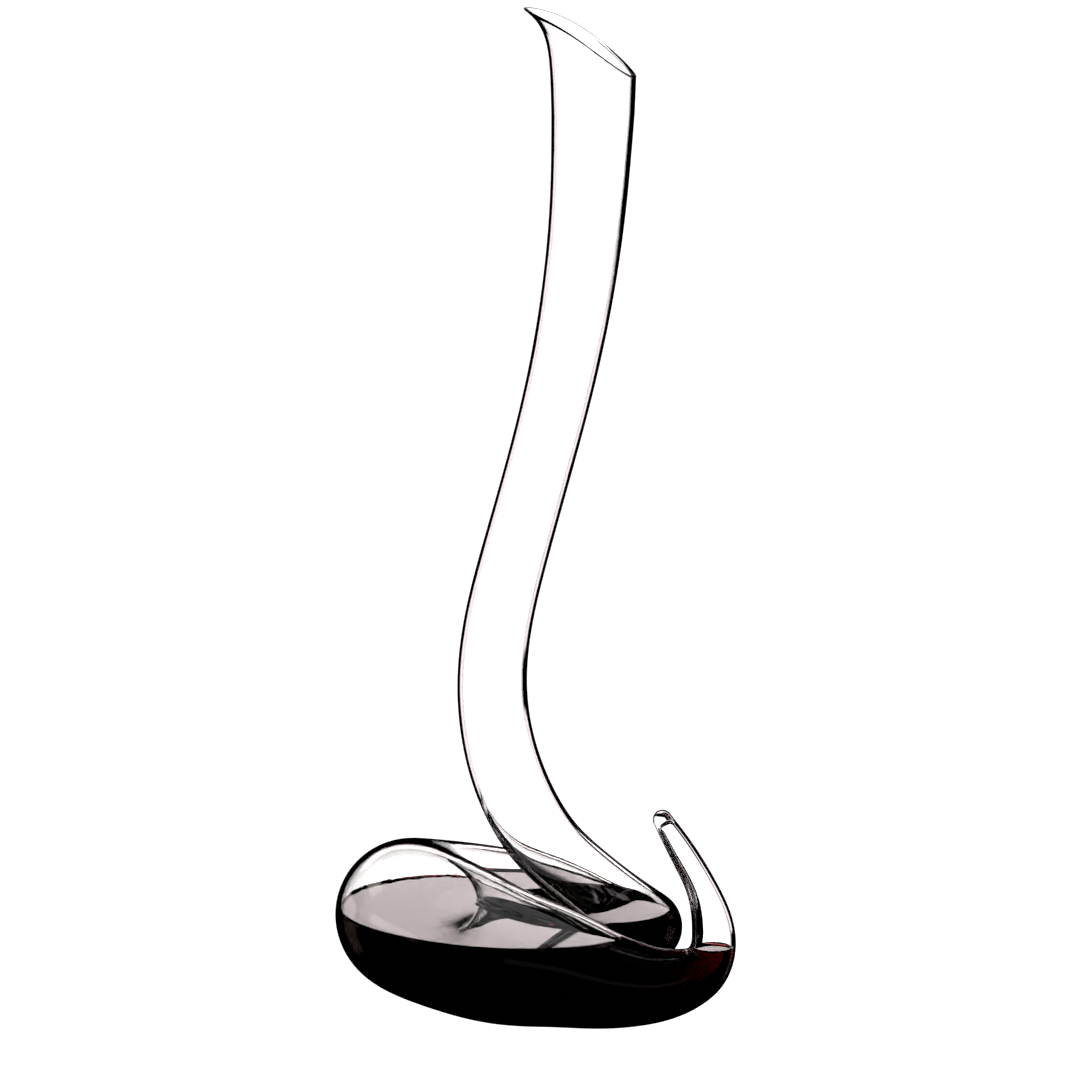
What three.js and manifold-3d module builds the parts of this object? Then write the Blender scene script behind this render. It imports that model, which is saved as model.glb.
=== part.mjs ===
// Serpentine wine decanter with its wine. One blown glass tube runs from a slanted pouring lip down an
// S-shaped neck, round an open coil that widens into a belly, and up into a closed, curled tail.
// Millimetres, +Z up, X across the coil, Y from front to back. The origin is on the floor, in the middle.
// The one glass body is divided along its length into short named stretches of tube.

import * as THREE from 'three';
import { mergeVertices } from 'three/addons/utils/BufferGeometryUtils.js';
import Module from 'manifold-3d';

// Overall sizes
const overallHeight = 497; // floor to the tip of the pouring lip
const loopWidth = 46; // what the coil is wider than two bellies side by side
const loopDepth = 22; // what the coil is deeper than two bellies, one behind the other
const tailHeight = 111.5; // floor to the top of the closed tip

// Outside diameters along the tube
const mouthDiameter = 42;
const neckDiameter = 32.5; // at its narrowest, half-way down
const elbowDiameter = 36; // where the neck leans over above the coil
const noseDiameter = 34; // in the tight bend at the right of the coil
const bellyDiameter = 75.5; // at the left of the coil
const tailDiameter = 21; // where the tail stands upright
const tipDiameter = 9.5;

// Glass and wine
const wall = 2.2;
const seatDepth = 1.5; // how far the round underside is pressed flat where it rests
const tipSolid = 7; // solid glass above the hollow of the tail
const wineLevel = 43; // above the floor
const wineClearance = 0.3; // between the wine and the glass
const stretchGap = 0.3; // between neighbouring stretches of tube

// Mouth
const mouthSkirt = 18; // straight glass under the low side of the rim
const rimSlant = 33; // from the low side of the rim up to the tip of the lip
const lipReach = 13.5; // how far the lip is pulled out sideways
const lipCurl = 9; // height over which the pull fades by about two thirds

// Neck
const neckSetback = -15; // the plane of the neck, in front of the middle
const kneeHeight = 52; // axis height where the neck turns into the coil

// Fineness of the mesh
const sides = 24;
const mouthSteps = 7;
const tipSteps = 3;

const mix = THREE.MathUtils.lerp;

// The outside of the coil, wall to wall. It grows with the belly, which keeps the loop open.
const coilWidth = 2 * bellyDiameter + loopWidth;
const coilDepth = 2 * bellyDiameter + loopDepth;

// The axis of the neck from the mouth down: how far it stands to the side, its share of the height from
// the knee to the mouth, and its outside diameter.
const mouthFoot = overallHeight - rimSlant - mouthSkirt;
const neckStations = [
	[28.5, 1, mix(neckDiameter, mouthDiameter, 0.85)],
	[26.3, 0.89, mix(neckDiameter, mouthDiameter, 0.53)],
	[21.2, 0.775, mix(neckDiameter, mouthDiameter, 0.29)],
	[13.2, 0.665, mix(neckDiameter, mouthDiameter, 0.1)],
	[2, 0.55, neckDiameter],
	[-9.8, 0.44, mix(neckDiameter, elbowDiameter, 0.1)],
	[-18, 0.35, mix(neckDiameter, elbowDiameter, 0.3)],
	[-20.6, 0.272, mix(neckDiameter, elbowDiameter, 0.5)],
	[-18, 0.208, mix(neckDiameter, elbowDiameter, 0.75)],
	[-11.8, 0.152, elbowDiameter],
	[-3.4, 0.106, elbowDiameter],
	[8.8, 0.063, mix(elbowDiameter, noseDiameter, 0.5)],
	[23, 0.03, noseDiameter],
	[37.5, 0, noseDiameter],
].map(([across, share, diameter]) => ({
	x: across,
	y: neckSetback,
	z: mix(kneeHeight, mouthFoot, share),
	diameter,
}));

// The axis of the coil: its place across and in depth, as shares of the room that the tube's own girth
// leaves inside the coil's width and depth, how far the tube is lifted off the floor, and its diameter.
const coilStations = [
	[0.605, -0.1, 26, noseDiameter],
	[0.68, 0.17, 16, mix(noseDiameter, bellyDiameter, 0.03)],
	[0.66, 0.48, 8, mix(noseDiameter, bellyDiameter, 0.11)],
	[0.52, 0.78, 2.5, mix(noseDiameter, bellyDiameter, 0.27)],
	[0.27, 0.97, 0, mix(noseDiameter, bellyDiameter, 0.45)],
	[-0.12, 1.01, 0, mix(noseDiameter, bellyDiameter, 0.61)],
	[-0.51, 0.98, 0, mix(noseDiameter, bellyDiameter, 0.73)],
	[-0.825, 0.75, 0.6, mix(noseDiameter, bellyDiameter, 0.85)],
	[-0.99, 0.31, 2, mix(noseDiameter, bellyDiameter, 0.96)],
	[-0.91, -0.23, 3, bellyDiameter],
	[-0.625, -0.655, 1.8, mix(tailDiameter, bellyDiameter, 0.97)],
	[-0.22, -0.95, 0, mix(tailDiameter, bellyDiameter, 0.86)],
	[0.17, -1, 0, mix(tailDiameter, bellyDiameter, 0.7)],
	[0.44, -1, 0.5, mix(tailDiameter, bellyDiameter, 0.53)],
	[0.62, -1, 2.5, mix(tailDiameter, bellyDiameter, 0.4)],
	[0.76, -1, 6, mix(tailDiameter, bellyDiameter, 0.29)],
	[0.88, -1, 12, mix(tailDiameter, bellyDiameter, 0.19)],
	[0.96, -1, 20.5, mix(tailDiameter, bellyDiameter, 0.095)],
].map(([across, depth, lift, diameter]) => ({
	x: across * (coilWidth - diameter) / 2,
	y: depth * (coilDepth - diameter) / 2,
	z: diameter / 2 - seatDepth + lift,
	diameter,
}));

// The axis of the tail, curling up and back over the coil: its shares of the room across and in depth and
// of the tail's height, and its diameter. It ends at the middle of the round tip.
const tailStations = [
	[0.995, -1, 0.37, mix(tailDiameter, bellyDiameter, 0.03)],
	[0.99, -1, 0.47, tailDiameter],
	[0.905, -0.96, 0.645, mix(tipDiameter, tailDiameter, 0.55)],
	[0.77, -0.91, 0.83, mix(tipDiameter, tailDiameter, 0.3)],
	[0.665, -0.88, 1 - tipDiameter / 2 / tailHeight, tipDiameter],
].map(([across, depth, share, diameter]) => ({
	x: across * (coilWidth - diameter) / 2,
	y: depth * (coilDepth - diameter) / 2,
	z: share * tailHeight,
	diameter,
}));

// A natural cubic spline through the values, one at each knot.
function naturalSpline(knots, values) {
	const last = knots.length - 1;
	const bend = new Array(last + 1).fill(0);
	const carry = new Array(last + 1).fill(0);
	for (let i = 1; i < last; i++) {
		const before = knots[i] - knots[i - 1];
		const after = knots[i + 1] - knots[i];
		const turn = (values[i + 1] - values[i]) / after - (values[i] - values[i - 1]) / before;
		const pivot = 2 * (before + after) - before * carry[i - 1];
		carry[i] = after / pivot;
		bend[i] = (6 * turn - before * bend[i - 1]) / pivot;
	}
	for (let i = last - 1; i > 0; i--) {
		bend[i] -= carry[i] * bend[i + 1];
	}
	return (at) => {
		let i = 0;
		while (i < last - 1 && at > knots[i + 1]) {
			i++;
		}
		const span = knots[i + 1] - knots[i];
		const b = (at - knots[i]) / span;
		const a = 1 - b;
		const curve = ((a ** 3 - a) * bend[i] + (b ** 3 - b) * bend[i + 1]) * span ** 2 / 6;
		return a * values[i] + b * values[i + 1] + curve;
	};
}

// The tube's axis as a curve of even curvature through the stations, which also knows the tube's diameter.
// Its length runs station by station, so that a place on it is a distance in millimetres from the mouth.
class TubeAxis extends THREE.Curve {
	constructor(stations) {
		super();
		this.knots = [0];
		for (let i = 1; i < stations.length; i++) {
			const step = new THREE.Vector3().copy(stations[i]).distanceTo(stations[i - 1]);
			this.knots.push(this.knots[i - 1] + step);
		}
		this.end = this.knots.at(-1);
		const through = (key) => naturalSpline(this.knots, stations.map((station) => station[key]));
		this.parts = [through('x'), through('y'), through('z')];
		this.girth = through('diameter');
	}

	getPoint(t, target = new THREE.Vector3()) {
		return target.set(...this.parts.map((part) => part(t * this.end)));
	}

	pointAt(distance) {
		return this.getPoint(distance / this.end);
	}

	directionAt(distance) {
		return this.getTangent(distance / this.end);
	}
}

const axis = new TubeAxis([...neckStations, ...coilStations, ...tailStations]);
const coilStart = neckStations.length;
const tailStart = coilStart + coilStations.length;

// The stretches of tube between the mouth and the tip: name, first and last station, and ring spacing.
const stretches = [
	['upper_neck', 0, 3, 22],
	['middle_neck', 3, 7, 22],
	['lower_neck', 7, coilStart - 2, 12],
	['neck_bend', coilStart - 2, coilStart + 3, 8],
	['coil_back', coilStart + 3, coilStart + 6, 9],
	['coil_left_rear', coilStart + 6, coilStart + 8, 8],
	['coil_left_front', coilStart + 8, coilStart + 11, 8],
	['coil_front', coilStart + 11, coilStart + 15, 9],
	['tail_root', coilStart + 15, tailStart + 1, 8],
	['tail_stem', tailStart + 1, tailStart + 3, 9],
];

// Frames along the axis, each carried on from the one before with the least turn.
function makeFrames(places) {
	const carried = new THREE.Vector3(1, 0, 0);
	let heading = new THREE.Vector3(0, 0, -1);
	return places.map((place) => {
		const next = axis.directionAt(place);
		carried.applyQuaternion(new THREE.Quaternion().setFromUnitVectors(heading, next));
		heading = next;
		const across = carried.clone().addScaledVector(next, -carried.dot(next)).normalize();
		const upright = new THREE.Vector3().crossVectors(across, next);
		return { centre: axis.pointAt(place), radius: axis.girth(place) / 2, next, across, upright };
	});
}

// The points of a circle in a frame, moved along the axis by ahead. Nothing reaches below the given floor.
function circle(frame, radius, floor, ahead = 0) {
	const points = [];
	for (let i = 0; i < sides; i++) {
		const angle = i / sides * 2 * Math.PI;
		const point = frame.centre.clone()
			.addScaledVector(frame.across, radius * Math.cos(angle))
			.addScaledVector(frame.upright, radius * Math.sin(angle))
			.addScaledVector(frame.next, ahead);
		point.z = Math.max(point.z, floor);
		points.push(point);
	}
	return points;
}

const outerRing = (frame) => circle(frame, frame.radius, 0);
const innerRing = (frame) => circle(frame, frame.radius - wall, wall);
const wineRing = (frame) => circle(frame, frame.radius - wall - wineClearance, wall + wineClearance);

// A surface through rings of points, in order. It closes on itself, or each of its ends is a single point.
// Its four-cornered facets are split along one diagonal or, crossed, along the other.
function skin(rings, closed, crossed = false) {
	const firsts = [];
	const points = [];
	for (const ring of rings) {
		firsts.push(points.length);
		points.push(...ring);
	}
	const index = [];
	const corner = (ring, i) => firsts[ring] + i % rings[ring].length;
	const bands = closed ? rings.length : rings.length - 1;
	for (let r = 0; r < bands; r++) {
		const s = (r + 1) % rings.length;
		for (let i = 0; i < sides; i++) {
			const j = i + 1;
			const split = crossed ? [corner(s, j), corner(r, i)] : [corner(s, i), corner(r, j)];
			if (rings[r].length > 1) {
				index.push(corner(r, i), split[0], corner(r, j));
			}
			if (rings[s].length > 1) {
				index.push(split[1], corner(s, i), corner(s, j));
			}
		}
	}
	const geometry = new THREE.BufferGeometry().setFromPoints(points);
	geometry.setIndex(index);
	return geometry;
}

// A stretch of tube: down its outside, across its end, back up its inside, and across to the start.
function tubeStretch(frames) {
	return skin([...frames.map(outerRing), ...frames.map(innerRing).reverse()], true);
}

// The mouth: its rings rise from the foot, where the neck begins, to the slanted rim, and lean out into
// the pouring lip.
function mouthRing(frame, rise, inset, lower = 0) {
	const foot = circle(frame, frame.radius - inset, 0, -stretchGap);
	const rimRadius = mouthDiameter / 2 - inset;
	return foot.map((point, i) => {
		const angle = i / sides * 2 * Math.PI;
		const lipSide = (1 - Math.cos(angle)) / 2;
		point.x = mix(point.x, frame.centre.x + rimRadius * Math.cos(angle), rise);
		point.y = mix(point.y, frame.centre.y + rimRadius * Math.sin(angle), rise);
		point.z = mix(point.z, overallHeight - rimSlant * (1 - lipSide), rise) - lower;
		point.x -= lipReach * lipSide ** 2 * Math.exp((point.z - overallHeight) / lipCurl);
		return point;
	});
}

function mouth(frame) {
	const roundOff = wall / 3;
	const side = (inset) => {
		const rings = [];
		for (let i = 0; i < mouthSteps; i++) {
			rings.push(mouthRing(frame, i / mouthSteps, inset));
		}
		return [...rings, mouthRing(frame, 1, inset, roundOff)];
	};
	return skin([...side(wall), mouthRing(frame, 1, wall / 2), ...side(0).reverse()], true);
}

// The closed end of the tail, with a round tip outside and a round end to the hollow.
function tailTip([start, hollowEnd, end]) {
	const dome = (frame, radius, floor) => {
		const rings = [];
		for (let i = 1; i < tipSteps; i++) {
			const angle = i / tipSteps * Math.PI / 2;
			rings.push(circle(frame, radius * Math.cos(angle), floor, radius * Math.sin(angle)));
		}
		rings.push([frame.centre.clone().addScaledVector(frame.next, radius)]);
		return rings;
	};
	const outside = [start, hollowEnd, end].map(outerRing).concat(dome(end, end.radius, 0));
	const inside = [start, hollowEnd].map(innerRing);
	inside.push(...dome(hollowEnd, hollowEnd.radius - wall, wall));
	return skin([...inside.reverse(), ...outside], false);
}

const wasm = await Module();
wasm.setup();

function toSolid(geometry) {
	const bare = geometry.clone();
	bare.deleteAttribute('normal');
	bare.deleteAttribute('uv');
	const merged = mergeVertices(bare);
	return new wasm.Manifold(new wasm.Mesh({
		numProp: 3,
		vertProperties: new Float32Array(merged.attributes.position.array),
		triVerts: new Uint32Array(merged.index.array),
	}));
}

function toGeometry(solid) {
	const mesh = solid.getMesh();
	const geometry = new THREE.BufferGeometry();
	geometry.setAttribute('position', new THREE.Float32BufferAttribute(mesh.vertProperties, 3));
	geometry.setIndex([...mesh.triVerts]);
	return geometry;
}

// The wine fills the tube up to its level, from inside the neck to the foot of the tail. Its facets are
// crossed, so that they run parallel to those of the inside of the glass.
function wine(frames) {
	const rings = [[frames[0].centre], ...frames.map(wineRing), [frames.at(-1).centre]];
	const down = [0, 0, -1];
	return toGeometry(toSolid(skin(rings, false, true)).trimByPlane(down, -wineLevel));
}

const glass = () => new THREE.MeshStandardMaterial({ color: 0xeef3f2, roughness: 0.03, metalness: 0 });
const redWine = () => new THREE.MeshStandardMaterial({ color: 0x4a0610, roughness: 0.05, metalness: 0 });

const decanter = new THREE.Group();

function addPiece(name, geometry, material) {
	const mesh = new THREE.Mesh(geometry, material);
	mesh.name = name;
	decanter.add(mesh);
}

// Places of the rings in each stretch, kept clear of its neighbours, with the closed end of the tail last.
const rows = stretches.map(([name, first, last, spacing]) => {
	const start = axis.knots[first] + (first > 0 ? stretchGap / 2 : 0);
	const end = axis.knots[last] - stretchGap / 2;
	const steps = Math.ceil((end - start) / spacing);
	const places = [];
	for (let i = 0; i <= steps; i++) {
		places.push(mix(start, end, i / steps));
	}
	return { name, places, build: tubeStretch };
});
const tipStart = axis.knots[stretches.at(-1)[2]] + stretchGap / 2;
const hollowEnd = axis.end + wall - tipSolid;
rows.push({ name: 'tail_tip', places: [tipStart, hollowEnd, axis.end], build: tailTip });

const frames = makeFrames(rows.flatMap((row) => row.places));
addPiece('mouth_lip', mouth(frames[0]), glass());
let taken = 0;
for (const { name, places, build } of rows) {
	addPiece(name, build(frames.slice(taken, taken + places.length)), glass());
	taken += places.length;
}
addPiece('wine', wine(frames.filter((frame) => frame.centre.z < wineLevel + noseDiameter)), redWine());

// The origin lies on the floor under the middle of the whole piece.
const middle = new THREE.Box3().setFromObject(decanter).getCenter(new THREE.Vector3());
decanter.position.set(-middle.x, -middle.y, 0);

export default decanter;
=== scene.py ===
"""A blown glass wine decanter with its wine, on a bright light table: one S-shaped neck, an open coil
and a closed, curled tail. Everything is in metres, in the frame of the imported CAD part."""

import math

import bmesh
import bpy
import numpy as np
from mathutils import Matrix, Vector, noise


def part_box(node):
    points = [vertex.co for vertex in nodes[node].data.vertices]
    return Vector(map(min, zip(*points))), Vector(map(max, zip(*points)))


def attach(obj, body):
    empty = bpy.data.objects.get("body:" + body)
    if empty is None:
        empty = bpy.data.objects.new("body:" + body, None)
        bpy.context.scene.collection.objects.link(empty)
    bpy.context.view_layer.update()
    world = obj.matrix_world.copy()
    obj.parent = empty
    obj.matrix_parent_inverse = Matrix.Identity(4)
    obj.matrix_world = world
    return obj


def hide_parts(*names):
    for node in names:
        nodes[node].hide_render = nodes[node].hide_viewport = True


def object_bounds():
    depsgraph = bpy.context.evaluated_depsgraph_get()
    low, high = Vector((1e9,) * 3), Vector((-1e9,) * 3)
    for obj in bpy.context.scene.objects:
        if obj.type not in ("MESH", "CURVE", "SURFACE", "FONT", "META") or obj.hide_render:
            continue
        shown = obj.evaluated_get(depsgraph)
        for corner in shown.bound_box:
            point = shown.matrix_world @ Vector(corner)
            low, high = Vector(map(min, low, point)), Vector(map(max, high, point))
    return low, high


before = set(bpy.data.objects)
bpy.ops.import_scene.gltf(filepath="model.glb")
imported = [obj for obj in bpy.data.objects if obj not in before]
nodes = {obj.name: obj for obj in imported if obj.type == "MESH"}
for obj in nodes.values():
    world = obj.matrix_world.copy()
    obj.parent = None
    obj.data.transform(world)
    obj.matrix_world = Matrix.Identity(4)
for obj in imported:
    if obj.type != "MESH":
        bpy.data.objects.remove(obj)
cad_low, cad_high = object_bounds()

MM = 0.001

# Sizes of the glass tube, as in the CAD part
HEIGHT = cad_high.z
MOUTH, NECK, ELBOW, NOSE, BELLY, TAIL, TIP = (d * MM for d in (42, 32.5, 36, 34, 75.5, 21, 9.5))
COIL_WIDTH = 2 * BELLY + 46 * MM
COIL_DEPTH = 2 * BELLY + 22 * MM
TAIL_HEIGHT = 111.5 * MM
WALL = 2.2 * MM
SEAT = 1.5 * MM
TIP_SOLID = 7 * MM
RIM_SLANT = 33 * MM
MOUTH_SKIRT = 18 * MM
LIP_REACH = 13.5 * MM
LIP_CURL = 9 * MM
NECK_SETBACK = -15 * MM
KNEE_HEIGHT = 52 * MM

# Fineness of the visual mesh
SIDES = 96
RING_STEP = 2.4 * MM  # along the tube, where it is wide
FINE_STEP = 0.7 * MM  # along the tube, where it is narrowest
TRIALS = 5000  # places along the tube at which the spacing of the rings is worked out
MOUTH_RINGS = 30
RIM_RINGS = 8
DOME_RINGS = 8

WINE_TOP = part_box("wine")[1].z
MENISCUS = 1.1 * MM  # how far the wine climbs the glass
MENISCUS_FALL = 0.75 * MM  # how far from the glass that height drops to about a third
MENISCUS_RINGS = [reach * MM for reach in (0.12, 0.3, 0.6, 1.0, 1.5, 2.1, 2.8)]  # distances from the glass
MENISCUS_ROOM = 4.5 * MM  # the half width that the wine needs for its full meniscus
WINE_KEY = 0.15 * MM  # how far the wine reaches into the glass, so that no air shows between them

WAVER = 0.12 * MM  # unevenness of the inside of the glass
WAVER_SCALE = 34  # its waves per metre
FLOOR_CORNER = 0.12 * MM  # roundness of the edge where the glass rests flat


# --------------------------------------------------------------------------------------------- shape


def mix(a, b, share):
    """The value that share of the way from a to b."""
    return a + (b - a) * share


def neck_stations():
    """Across in millimetres, share of the height from knee to mouth, diameter."""
    foot = HEIGHT - RIM_SLANT - MOUTH_SKIRT
    rows = [
        (28.5, 1, mix(NECK, MOUTH, 0.85)),
        (26.3, 0.89, mix(NECK, MOUTH, 0.53)),
        (21.2, 0.775, mix(NECK, MOUTH, 0.29)),
        (13.2, 0.665, mix(NECK, MOUTH, 0.1)),
        (2, 0.55, NECK),
        (-9.8, 0.44, mix(NECK, ELBOW, 0.1)),
        (-18, 0.35, mix(NECK, ELBOW, 0.3)),
        (-20.6, 0.272, mix(NECK, ELBOW, 0.5)),
        (-18, 0.208, mix(NECK, ELBOW, 0.75)),
        (-11.8, 0.152, ELBOW),
        (-3.4, 0.106, ELBOW),
        (8.8, 0.063, mix(ELBOW, NOSE, 0.5)),
        (23, 0.03, NOSE),
        (37.5, 0, NOSE),
    ]
    return [(x * MM, NECK_SETBACK, mix(KNEE_HEIGHT, foot, share), d) for x, share, d in rows]


def coil_stations():
    """Shares of the room across and in depth, lift off the floor in millimetres, diameter."""
    rows = [
        (0.605, -0.1, 26, NOSE),
        (0.68, 0.17, 16, mix(NOSE, BELLY, 0.03)),
        (0.66, 0.48, 8, mix(NOSE, BELLY, 0.11)),
        (0.52, 0.78, 2.5, mix(NOSE, BELLY, 0.27)),
        (0.27, 0.97, 0, mix(NOSE, BELLY, 0.45)),
        (-0.12, 1.01, 0, mix(NOSE, BELLY, 0.61)),
        (-0.51, 0.98, 0, mix(NOSE, BELLY, 0.73)),
        (-0.825, 0.75, 0.6, mix(NOSE, BELLY, 0.85)),
        (-0.99, 0.31, 2, mix(NOSE, BELLY, 0.96)),
        (-0.91, -0.23, 3, BELLY),
        (-0.625, -0.655, 1.8, mix(TAIL, BELLY, 0.97)),
        (-0.22, -0.95, 0, mix(TAIL, BELLY, 0.86)),
        (0.17, -1, 0, mix(TAIL, BELLY, 0.7)),
        (0.44, -1, 0.5, mix(TAIL, BELLY, 0.53)),
        (0.62, -1, 2.5, mix(TAIL, BELLY, 0.4)),
        (0.76, -1, 6, mix(TAIL, BELLY, 0.29)),
        (0.88, -1, 12, mix(TAIL, BELLY, 0.19)),
        (0.96, -1, 20.5, mix(TAIL, BELLY, 0.095)),
    ]
    return [
        (across * (COIL_WIDTH - d) / 2, depth * (COIL_DEPTH - d) / 2, d / 2 - SEAT + lift * MM, d)
        for across, depth, lift, d in rows
    ]


def tail_stations():
    """Shares of the room across and in depth and of the tail's height, diameter."""
    rows = [
        (0.995, -1, 0.37, mix(TAIL, BELLY, 0.03)),
        (0.99, -1, 0.47, TAIL),
        (0.905, -0.96, 0.645, mix(TIP, TAIL, 0.55)),
        (0.77, -0.91, 0.83, mix(TIP, TAIL, 0.3)),
        (0.665, -0.88, 1 - TIP / 2 / TAIL_HEIGHT, TIP),
    ]
    return [
        (across * (COIL_WIDTH - d) / 2, depth * (COIL_DEPTH - d) / 2, share * TAIL_HEIGHT, d)
        for across, depth, share, d in rows
    ]


def natural_spline(knots, values, at):
    """The natural cubic spline through the values, one row to a knot, at many places."""
    count = len(knots)
    span = np.diff(knots)
    system = np.eye(count)
    turn = np.zeros_like(values)
    for i in range(1, count - 1):
        system[i, i - 1 : i + 2] = span[i - 1], 2 * (span[i - 1] + span[i]), span[i]
        rise = (values[i + 1] - values[i]) / span[i] - (values[i] - values[i - 1]) / span[i - 1]
        turn[i] = 6 * rise
    bend = np.linalg.solve(system, turn)
    i = np.clip(np.searchsorted(knots, at) - 1, 0, count - 2)
    b = ((at - knots[i]) / span[i])[:, None]
    a = 1 - b
    square = (span[i] ** 2 / 6)[:, None]
    curve = ((a**3 - a) * bend[i] + (b**3 - b) * bend[i + 1]) * square
    return a * values[i] + b * values[i + 1] + curve


def tube_frames():
    """Centres, radii, and the three axes of each ring, from the mouth's foot to the middle of the tip."""
    stations = np.array(neck_stations() + coil_stations() + tail_stations())
    steps = np.linalg.norm(np.diff(stations[:, :3], axis=0), axis=1)
    knots = np.concatenate([[0], np.cumsum(steps)])
    trial = np.linspace(0, knots[-1], TRIALS)
    wanted = np.clip(natural_spline(knots, stations, trial)[:, 3] * FINE_STEP / TIP, FINE_STEP, RING_STEP)
    passed = np.concatenate([[0], np.cumsum(np.diff(trial) / wanted[1:])])
    places = np.interp(np.linspace(0, passed[-1], int(passed[-1]) + 1), passed, trial)
    line = natural_spline(knots, stations, places)
    nudge = 1e-5
    before = natural_spline(knots, stations, np.maximum(places - nudge, 0))[:, :3]
    after = natural_spline(knots, stations, np.minimum(places + nudge, knots[-1]))[:, :3]
    heading = after - before
    heading /= np.linalg.norm(heading, axis=1)[:, None]
    carried = Vector((1, 0, 0))
    last = Vector((0, 0, -1))
    across = []
    for direction in heading:
        direction = Vector(direction)
        carried = last.rotation_difference(direction) @ carried
        carried = (carried - direction * carried.dot(direction)).normalized()
        last = direction
        across.append(tuple(carried))
    across = np.array(across)
    upright = np.cross(across, heading)
    return line[:, :3], line[:, 3] / 2, across, upright, heading


ANGLES = np.arange(SIDES) / SIDES * 2 * math.pi


def rings(frames, inset, floor, waver=0.0):
    """Rings of points round the tube, inset from its outside and kept above the floor."""
    centre, radius, across, upright, _ = frames
    reach = (radius - inset)[:, None, None]
    side = np.cos(ANGLES)[None, :, None] * across[:, None] + np.sin(ANGLES)[None, :, None] * upright[:, None]
    points = centre[:, None] + reach * side
    if waver:
        points += side * waver * uneven(points)[..., None]
    points[..., 2] = soft_floor(points[..., 2], floor)
    return points


def uneven(points):
    """Slow unevenness of hand-blown glass, between -1 and 1."""
    flat = points.reshape(-1, 3)
    values = [noise.noise(Vector(p) * WAVER_SCALE) for p in flat]
    return np.array(values).reshape(points.shape[:-1])


def soft_floor(height, floor):
    """Heights kept above the floor, with a small round corner to the flat."""
    over = height - floor
    return floor + (over + np.sqrt(over**2 + FLOOR_CORNER**2)) / 2


def mouth_ring(frames, rise, inset, lower=0.0):
    """One ring between the mouth's foot and its slanted rim, pulled out into the pouring lip."""
    centre, radius, across, upright, _ = (values[0] for values in frames)
    reach = radius - inset
    foot = centre + reach * (np.cos(ANGLES)[:, None] * across + np.sin(ANGLES)[:, None] * upright)
    lip_side = (1 - np.cos(ANGLES)) / 2
    rim = np.empty_like(foot)
    rim[:, 0] = centre[0] + (MOUTH / 2 - inset) * np.cos(ANGLES)
    rim[:, 1] = centre[1] + (MOUTH / 2 - inset) * np.sin(ANGLES)
    rim[:, 2] = HEIGHT - RIM_SLANT * (1 - lip_side)
    ring = mix(foot, rim, rise)
    ring[:, 2] -= lower
    ring[:, 0] -= LIP_REACH * lip_side**2 * np.exp((ring[:, 2] - HEIGHT) / LIP_CURL)
    return ring


def mouth_rings(frames):
    """Rings from the foot of the mouth up the outside, over the fire-polished rim, and down the inside."""
    up = [mouth_ring(frames, i / MOUTH_RINGS, 0) for i in range(MOUTH_RINGS)]
    over = []
    for i in range(RIM_RINGS + 1):
        turn = i / RIM_RINGS * math.pi
        inset = WALL / 2 * (1 - math.cos(turn))
        over.append(mouth_ring(frames, 1, inset, WALL / 2 * (1 - math.sin(turn))))
    down = [mouth_ring(frames, i / MOUTH_RINGS, WALL) for i in reversed(range(MOUTH_RINGS))]
    return up + over + down


def dome(frames, index, radius):
    """Rings that close the tube round the frame of that index, and the point at the end."""
    centre, _, across, upright, heading = (values[index] for values in frames)
    made = []
    for i in range(1, DOME_RINGS):
        turn = i / DOME_RINGS * math.pi / 2
        side = np.cos(ANGLES)[:, None] * across + np.sin(ANGLES)[:, None] * upright
        made.append(centre + radius * (math.cos(turn) * side + math.sin(turn) * heading))
    return made, centre + radius * heading


def loft(name, ring_list, start, end):
    """A closed mesh through rings of points, from the start point to the end point."""
    ring_list = np.array(ring_list)
    count, sides = ring_list.shape[:2]
    points = np.concatenate([ring_list.reshape(-1, 3), [start], [end]])
    faces = []
    for r in range(count - 1):
        for i in range(sides):
            j = (i + 1) % sides
            low, high = r * sides, (r + 1) * sides
            faces.append((low + i, high + i, high + j, low + j))
    first, last = count * sides, count * sides + 1
    top = (count - 1) * sides
    for i in range(sides):
        j = (i + 1) % sides
        faces.append((first, i, j))
        faces.append((last, top + j, top + i))
    mesh = bpy.data.meshes.new(name)
    mesh.from_pydata(points.tolist(), [], faces)
    mesh.validate()
    mesh.polygons.foreach_set("use_smooth", [True] * len(mesh.polygons))
    return mesh


def fit_to_part(points, frames):
    """The points, moved and shrunk a little in plan as the tube has to be to lie inside the CAD box."""
    outside = rings(frames, 0, 0)
    points = np.array(points)
    for k in range(2):
        least, most = outside[..., k].min(), outside[..., k].max()
        share = min(1, (cad_high[k] - cad_low[k]) / (most - least))
        points[..., k] = (points[..., k] - (least + most) / 2) * share + (cad_low[k] + cad_high[k]) / 2
    points[..., 2] = np.clip(points[..., 2], cad_low[2], cad_high[2])
    return points


def glass_rings(frames):
    """All rings of the vessel, from the solid glass at the end of the hollow, out over the rim, to the tip."""
    centre, radius = frames[0], frames[1]
    to_end = np.linalg.norm(centre - centre[-1], axis=1)
    far = np.arange(len(to_end)) < len(to_end) / 2  # the neck and the mouth, out of the search
    hollow_end = int(np.argmin(np.abs(to_end - (TIP_SOLID - WALL)) + far))
    hollow = tuple(values[1 : hollow_end + 1] for values in frames)
    inside = list(rings(hollow, WALL, WALL, WAVER))[::-1]
    outside = list(rings(tuple(values[1:] for values in frames), 0, 0))
    end_inside, first = dome(frames, hollow_end, radius[hollow_end] - WALL)
    end_outside, last = dome(frames, -1, radius[-1])
    over = mouth_rings(frames)[::-1]
    return end_inside[::-1] + inside + over + outside + end_outside, first, last


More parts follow.
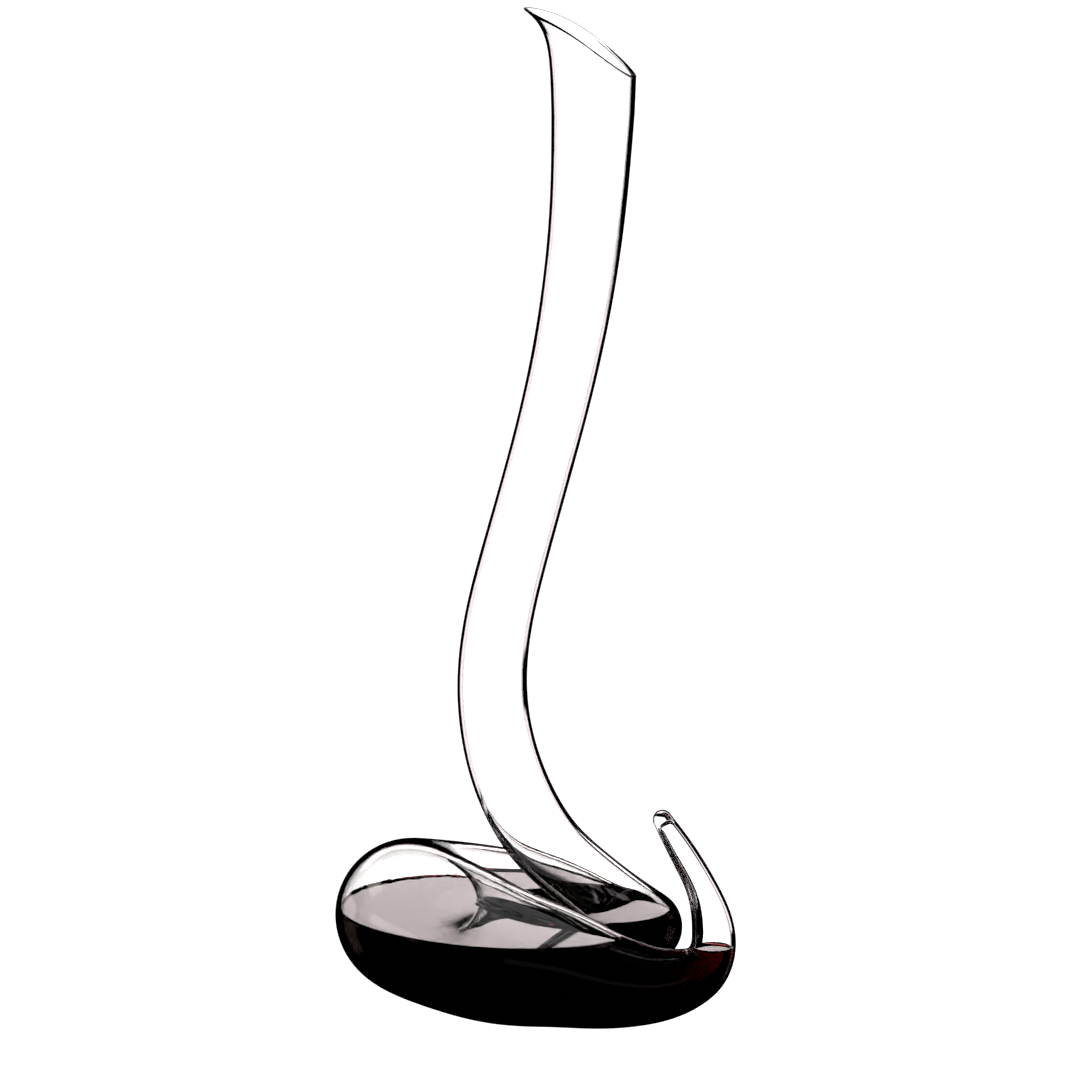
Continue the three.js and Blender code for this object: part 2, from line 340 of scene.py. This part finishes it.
def new_piece(name, mesh, materials):
    """The mesh as an object that rides on the part."""
    for material in materials:
        mesh.materials.append(material)
    made = bpy.data.objects.new(name, mesh)
    bpy.context.scene.collection.objects.link(made)
    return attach(made, "root")


def build_glass(frames, dry, wetted):
    """The whole vessel as one closed mesh. Its inside is wetted up to the wine's level."""
    ring_list, first, last = glass_rings(frames)
    ring_list, (first, last) = fit_to_part(ring_list, frames), fit_to_part([first, last], frames)
    mesh = loft("decanter_glass", ring_list, first, last)
    glass = new_piece("decanter_glass", mesh, [dry, wetted])
    inside_rings = np.linalg.norm(frames[0] - frames[0][-1], axis=1) > TIP_SOLID
    inside_faces = (DOME_RINGS - 1 + int(inside_rings.sum())) * SIDES
    for face in mesh.polygons[:inside_faces]:
        if face.center.z < WINE_TOP:
            face.material_index = 1
    return glass


def build_wine(frames, material):
    """The wine: the inside of the tube cut off flat, with a meniscus where it meets the glass."""
    low = np.nonzero(frames[0][:, 2] < WINE_TOP + NOSE)[0]
    part = tuple(values[low[0] : low[-1] + 1] for values in frames)
    ring_list = fit_to_part(rings(part, WALL - WINE_KEY, WALL - WINE_KEY, WAVER), frames)
    mesh = loft("decanter_wine", ring_list, *fit_to_part(part[0][[0, -1]], frames))
    shell = bmesh.new()
    shell.from_mesh(mesh)
    brim = Vector((0, 0, WINE_TOP + MENISCUS))
    whole = shell.verts[:] + shell.edges[:] + shell.faces[:]
    bmesh.ops.bisect_plane(shell, geom=whole, plane_co=brim, plane_no=(0, 0, 1), clear_outer=True)
    for loop in open_loops(shell):
        fill_meniscus(shell, loop)
    bmesh.ops.recalc_face_normals(shell, faces=shell.faces)
    shell.to_mesh(mesh)
    shell.free()
    return new_piece("decanter_wine", mesh, [material])


def open_loops(shell):
    """The rings of corners round each opening of the mesh, in order."""
    loops = []
    left = {edge for edge in shell.edges if edge.is_boundary}
    while left:
        edge = min(left, key=lambda e: e.index)
        start, corner = edge.verts
        loop = [start]
        left.discard(edge)
        while corner != start:
            loop.append(corner)
            edge = next(e for e in corner.link_edges if e in left)
            left.discard(edge)
            corner = edge.other_vert(corner)
        loops.append(loop)
    return loops


def fill_meniscus(shell, loop):
    """Closes an opening with a surface that dips from the glass to the flat level, closer where it is small."""
    outline = np.array([corner.co for corner in loop])[:, :2]
    ahead = np.roll(outline, -1, axis=0) - np.roll(outline, 1, axis=0)
    area = np.sum(outline[:, 0] * np.roll(outline[:, 1], -1) - outline[:, 1] * np.roll(outline[:, 0], -1))
    inward = np.stack([-ahead[:, 1], ahead[:, 0]], axis=1) * math.copysign(1, area)
    inward /= np.maximum(np.linalg.norm(inward, axis=1), 1e-9)[:, None]
    size = math.sqrt(abs(area) / 2 / math.pi)
    for _ in range(6):
        inward = inward + np.roll(inward, 1, axis=0) + np.roll(inward, -1, axis=0)
        inward /= np.linalg.norm(inward, axis=1)[:, None]
    fullness = min(1, size / MENISCUS_ROOM)
    last = loop
    for reach in MENISCUS_RINGS:
        height = WINE_TOP + MENISCUS * math.exp(-reach / MENISCUS_FALL) * (1 - reach / MENISCUS_RINGS[-1])
        step = reach * fullness
        ring = [shell.verts.new((*(outline[i] + inward[i] * step), height)) for i in range(len(loop))]
        for i in range(len(loop)):
            j = (i + 1) % len(loop)
            shell.faces.new((last[i], last[j], ring[j], ring[i])).smooth = True
        last = ring
    shell.faces.new(last).smooth = False


# ------------------------------------------------------------------------------------------ materials


class Nodes:
    """Short spellings for building a node tree."""

    def __init__(self, tree):
        self.tree = tree
        tree.nodes.clear()

    def add(self, kind, inputs=(), **settings):
        node = self.tree.nodes.new(kind)
        for name, value in settings.items():
            setattr(node, name, value)
        for name, value in dict(inputs).items():
            if isinstance(value, bpy.types.NodeSocket):
                self.tree.links.new(value, node.inputs[name])
            else:
                node.inputs[name].default_value = value
        return node

    def math(self, operation, *values):
        return self.add("ShaderNodeMath", enumerate(values), operation=operation).outputs[0]

    def fade(self, value, start, end):
        """1 up to the start, and smoothly down to 0 at the end."""
        inputs = {"Value": value, "From Min": start, "From Max": end, "To Min": 1.0, "To Max": 0.0}
        return self.add("ShaderNodeMapRange", inputs, interpolation_type="SMOOTHSTEP").outputs[0]

    def ramp(self, value, stops):
        """A soft curve through the stops, each a place and a level."""
        node = self.add("ShaderNodeValToRGB", {0: value})
        band = node.color_ramp
        band.interpolation = "EASE"
        while len(band.elements) < len(stops):
            band.elements.new(0.5)
        for element, (place, level) in zip(band.elements, stops):
            element.position = place
            element.color = (level, level, level, 1)
        return node.outputs["Color"]


def new_material(name):
    """A new material and its empty node tree."""
    material = bpy.data.materials.new(name)
    material.use_nodes = True
    return material, Nodes(material.node_tree)


def clear_glass(name, specular_tint):
    """Clear blown glass: slightly wavy, polished by fire, with a faint cool tint where it is thick."""
    material, n = new_material(name)
    place = n.add("ShaderNodeTexCoord").outputs["Object"]
    waves = n.add("ShaderNodeTexNoise", {"Vector": place, "Scale": 38, "Detail": 1.5})
    cords = n.add("ShaderNodeTexNoise", {"Vector": place, "Scale": 150, "Detail": 2, "Distortion": 0.6})
    height = n.math("MULTIPLY_ADD", cords.outputs[0], 0.12, waves.outputs[0])
    bump = n.add("ShaderNodeBump", {"Height": height, "Strength": 1.0, "Distance": 0.00012})
    film = n.add("ShaderNodeTexNoise", {"Vector": place, "Scale": 14, "Detail": 4})
    rough = n.ramp(film.outputs[0], [(0.45, 0.0), (0.75, 0.014)])
    surface = n.add(
        "ShaderNodeBsdfPrincipled",
        {
            "Base Color": (0.99, 0.995, 0.995, 1),
            "Transmission Weight": 1.0,
            "IOR": 1.5,
            "Specular Tint": specular_tint,
            "Roughness": rough,
            "Normal": bump.outputs[0],
        },
    )
    volume = n.add("ShaderNodeVolumeAbsorption", {"Color": (0.8, 0.88, 0.86, 1), "Density": 2.5})
    n.add("ShaderNodeOutputMaterial", {"Surface": surface.outputs[0], "Volume": volume.outputs[0]})
    return material


def red_wine():
    """Deep red wine: black where it is thick, ruby at its thin edges."""
    material, n = new_material("deep_red_wine")
    place = n.add("ShaderNodeTexCoord").outputs["Object"]
    ripple = n.add("ShaderNodeTexNoise", {"Vector": place, "Scale": 55, "Detail": 1})
    bump = n.add("ShaderNodeBump", {"Height": ripple.outputs[0], "Strength": 0.4, "Distance": 0.00005})
    haze = n.add("ShaderNodeTexNoise", {"Vector": place, "Scale": 30, "Detail": 3})
    rough = n.ramp(haze.outputs[0], [(0.4, 0.0), (0.8, 0.02)])
    surface = n.add(
        "ShaderNodeBsdfPrincipled",
        {
            "Base Color": (1.0, 0.96, 0.96, 1),
            "Transmission Weight": 1.0,
            "IOR": 1.345,
            "Specular Tint": (0, 0, 0, 1),
            "Roughness": rough,
            "Normal": bump.outputs[0],
        },
    )
    volume = n.add("ShaderNodeVolumeAbsorption", {"Color": (0.86, 0.0, 0.04, 1), "Density": 1500.0})
    n.add("ShaderNodeOutputMaterial", {"Surface": surface.outputs[0], "Volume": volume.outputs[0]})
    return material


def pale_floor():
    """A pale, softly glowing light table."""
    material, n = new_material("pale_floor")
    place = n.add("ShaderNodeTexCoord").outputs["Object"]
    grain = n.add("ShaderNodeTexNoise", {"Vector": place, "Scale": 400, "Detail": 3})
    rough = n.ramp(grain.outputs[0], [(0.3, 0.45), (0.7, 0.55)])
    surface = n.add(
        "ShaderNodeBsdfPrincipled",
        {
            "Base Color": (0.86, 0.86, 0.86, 1),
            "Roughness": rough,
            "Specular IOR Level": 0.2,
            "Emission Color": (1, 1, 1, 1),
            "Emission Strength": 1.2,
        },
    )
    n.add("ShaderNodeOutputMaterial", {"Surface": surface.outputs[0]})
    return material


# --------------------------------------------------------------------------------------------- studio

ELEVATION = math.radians(13)
LENS = 500
SENSOR = 36
FRAME_WIDTH = 527.3 * MM  # what the camera sees across, at the object
AIM = Vector((2.7 * MM, -6.5 * MM, 230.9 * MM))
TABLE_RADIUS = 0.18


def add_camera():
    """A long lens in front of the decanter, looking down a little."""
    data = bpy.data.cameras.new("camera")
    data.lens = LENS
    data.sensor_width = SENSOR
    data.clip_start = 0.05
    data.clip_end = 60
    camera = bpy.data.objects.new("camera", data)
    bpy.context.scene.collection.objects.link(camera)
    back = Vector((0, -math.cos(ELEVATION), math.sin(ELEVATION)))
    camera.location = AIM + back * (FRAME_WIDTH * LENS / SENSOR)
    camera.rotation_euler = (math.pi / 2 - ELEVATION, 0, 0)
    bpy.context.scene.camera = camera


def add_table():
    """A thin round table top that the decanter stands on. The glass neither mirrors nor shows it."""
    shell = bmesh.new()
    bmesh.ops.create_circle(shell, cap_ends=True, segments=128, radius=TABLE_RADIUS)
    mesh = bpy.data.meshes.new("floor")
    shell.to_mesh(mesh)
    shell.free()
    mesh.materials.append(pale_floor())
    floor = bpy.data.objects.new("floor", mesh)
    floor.location.z = cad_low.z - 0.02 * MM
    bpy.context.scene.collection.objects.link(floor)
    floor.visible_glossy = False
    floor.visible_transmission = False


# The studio's white panels, seen from the decanter: the middle of each by compass, counted from +X
# through +Y, half its width, its lowest and highest edge above the horizon, all in degrees, and its
# brightness. The low panels, and the floor's light below them, show straight through the glass. The
# high ones are mirrored in the wine's surface. The side ones show in light that was turned back once
# inside the wall of the glass, which thins the outlines. The rest is dark, and draws them.
LOW_PANELS = (
    (92, 22, -23, 1, 0.6),
    (0, 180, -28, 3, 1.3),
    (0, 180, -90, -48, 1.2),
)
HIGH_PANELS = (
    (90, 27, 10, 16, 3.0),
    (135, 16, 21, 29, 2.2),
    (180, 16, 2, 8, 2.2),
    (315, 16, 11, 19, 1.5),
    (270, 16, 7, 13, 1.1),
)
SIDE_PANELS = (
    (133, 9, -26, 2, 1.3),
    (46, 8, -34, -19, 1.3),
    (46, 8, -8, 14, 1.3),
)
PANEL_EDGE = 2.5  # softness of the panels' edges, in degrees
LOW_TINT = (1.0, 0.95, 0.95, 1)
HIGH_TINT = (1.0, 0.87, 0.875, 1)  # the room's warm light, which only shows in half tones
OVERHEAD = 0.25  # brightness of the ceiling
MIRRORED = 0.08  # share of the high panels' light that the outside of the glass mirrors
BACKDROP = 1.2  # the plain white that the camera itself sees


def panel_light(n, compass, rise, panels):
    """The light of all these panels together, in one direction."""
    light = 0.0
    for middle, half_width, low, high, level in panels:
        beside = n.math("ABSOLUTE", n.math("WRAP", n.math("SUBTRACT", compass, middle), 180.0, -180.0))
        above = n.math("ABSOLUTE", n.math("SUBTRACT", rise, (low + high) / 2))
        across = n.fade(beside, half_width, half_width + PANEL_EDGE)
        up = n.fade(above, (high - low) / 2, (high - low) / 2 + PANEL_EDGE)
        light = n.math("MULTIPLY_ADD", n.math("MULTIPLY", across, up), level, light)
    return light


def add_world():
    """A dark room with bright panels. What shows of them depends on how the light went through the glass."""
    world = bpy.data.worlds.new("studio")
    bpy.context.scene.world = world
    world.use_nodes = True
    n = Nodes(world.node_tree)
    way = n.add("ShaderNodeSeparateXYZ", {0: n.add("ShaderNodeTexCoord").outputs["Generated"]})
    x, y, z = way.outputs
    compass = n.math("DEGREES", n.math("ARCTAN2", y, x))
    rise = n.math("DEGREES", n.math("ARCSINE", z))
    ceiling = n.ramp(n.math("DIVIDE", rise, 90.0), [(0.55, 0.0), (0.7, OVERHEAD)])
    path = n.add("ShaderNodeLightPath").outputs
    through = path["Is Transmission Ray"]
    low_light = n.math("ADD", panel_light(n, compass, rise, LOW_PANELS), ceiling)
    dimmed = n.math("MULTIPLY_ADD", through, 1 - MIRRORED, MIRRORED)
    once = n.math("MULTIPLY", through, n.math("LESS_THAN", path["Glossy Depth"], 1.5))
    side_light = n.math("MULTIPLY", panel_light(n, compass, rise, SIDE_PANELS), once)
    high_light = n.math("MULTIPLY_ADD", panel_light(n, compass, rise, HIGH_PANELS), dimmed, side_light)
    straight = n.add("ShaderNodeBackground", {"Color": LOW_TINT, "Strength": low_light})
    bounced = n.add("ShaderNodeBackground", {"Color": HIGH_TINT, "Strength": high_light})
    turned = n.math("GREATER_THAN", path["Glossy Depth"], 0.5)
    room = n.add("ShaderNodeMixShader", {0: turned, 1: straight.outputs[0], 2: bounced.outputs[0]})
    backdrop = n.add("ShaderNodeBackground", {"Color": (1, 1, 1, 1), "Strength": BACKDROP})
    seen = n.add("ShaderNodeMixShader", {0: path["Is Camera Ray"], 1: room.outputs[0], 2: backdrop.outputs[0]})
    n.add("ShaderNodeOutputWorld", {"Surface": seen.outputs[0]})


def add_lights():
    """One big soft light from above, a little to the front."""
    data = bpy.data.lights.new("overhead_softbox", "AREA")
    data.shape = "RECTANGLE"
    data.size = 2.4
    data.size_y = 2.0
    data.energy = 12
    light = bpy.data.objects.new("overhead_softbox", data)
    light.location = (0.15, -0.2, 1.9)
    light.rotation_euler = (AIM - light.location).to_track_quat("-Z", "Y").to_euler()
    light.visible_glossy = False
    bpy.context.scene.collection.objects.link(light)


def set_look():
    """Plain colours, and enough bounces for glass behind glass."""
    scene = bpy.context.scene
    scene.view_settings.view_transform = "Standard"
    scene.cycles.max_bounces = 32
    scene.cycles.transmission_bounces = 32
    scene.cycles.glossy_bounces = 12


frames = tube_frames()
dry = clear_glass("clear_blown_glass", (1, 1, 1, 1))
wetted = clear_glass("wetted_glass", (0, 0, 0, 1))
glass = build_glass(frames, dry, wetted)
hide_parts(*[name for name in sorted(nodes) if name != "wine"])
wine = build_wine(frames, red_wine())
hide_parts("wine")
add_table()
add_world()
add_lights()
add_camera()
set_look()
